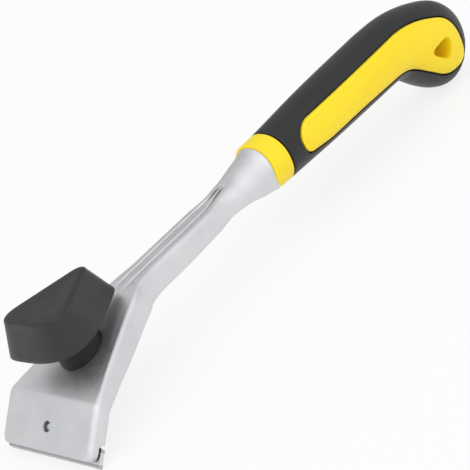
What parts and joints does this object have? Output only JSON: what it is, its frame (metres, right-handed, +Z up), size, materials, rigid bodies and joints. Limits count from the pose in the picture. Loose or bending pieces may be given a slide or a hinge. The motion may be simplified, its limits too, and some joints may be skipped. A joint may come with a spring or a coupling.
{
  "type": "paint scraper",
  "caption": "Two-handed paint scraper: reversible carbide blade clamped in a pressed steel arm by a palm knob, with a soft-grip pistol handle.",
  "frame": {"origin": "below the middle of the tool, on the surface that it lies on", "axes": "+X along the blade's edge, +Y from the blade to the heel of the handle, +Z up off the surface"},
  "size_m": [0.062, 0.3142, 0.059],
  "materials": {
    "pressed_steel": "satin plated, pressed from sheet",
    "zinc_steel": "zinc plated",
    "blade_steel": "ground",
    "carbide": "fine ground",
    "brass_insert": "turned",
    "yellow_plastic": "moulded, semi-gloss",
    "grip_rubber": "moulded soft grip, matt",
    "knob_plastic": "moulded, satin",
    "black_plastic": "moulded, satin"
  },
  "bodies": {
    "frame": {"arm": "pressed_steel", "blade_seat": "zinc_steel", "locating_pin": "zinc_steel", "knob_pedestal": "black_plastic", "knob_washer": "zinc_steel", "handle_core": "yellow_plastic", "handle_grip": "grip_rubber", "tang_pin_1": "zinc_steel", "tang_pin_2": "zinc_steel"},
    "blade": {"blade_strip": "blade_steel", "lower_carbide_edge": "carbide", "upper_carbide_edge": "carbide"},
    "clamp": {"clamp_plate": "zinc_steel", "clamp_stud": "zinc_steel", "stud_retainer": "zinc_steel"},
    "knob": {"knob_shell": "knob_plastic", "knob_hub": "black_plastic", "knob_insert": "brass_insert"}
  },
  "joints": [
    {"name": "knob_turn", "type": "hinge", "parent": "frame", "child": "knob", "pos_m": [0, -0.11844, 0.02978], "axis": [0, -0.0654, 0.9979], "range_deg": [0, 720]},
    {"name": "clamp_drop", "type": "slide", "parent": "frame", "child": "clamp", "axis": [0, 0.0654, -0.9979], "range_m": [0, 0.0025]},
    {"name": "blade_out", "type": "slide", "parent": "frame", "child": "blade", "axis": [1, 0, 0], "range_m": [0, 0.066]}
  ],
  "couplings": [
    {"joint": "knob_turn", "follows": "clamp_drop", "rad_per_m": 5026.5}
  ]
}
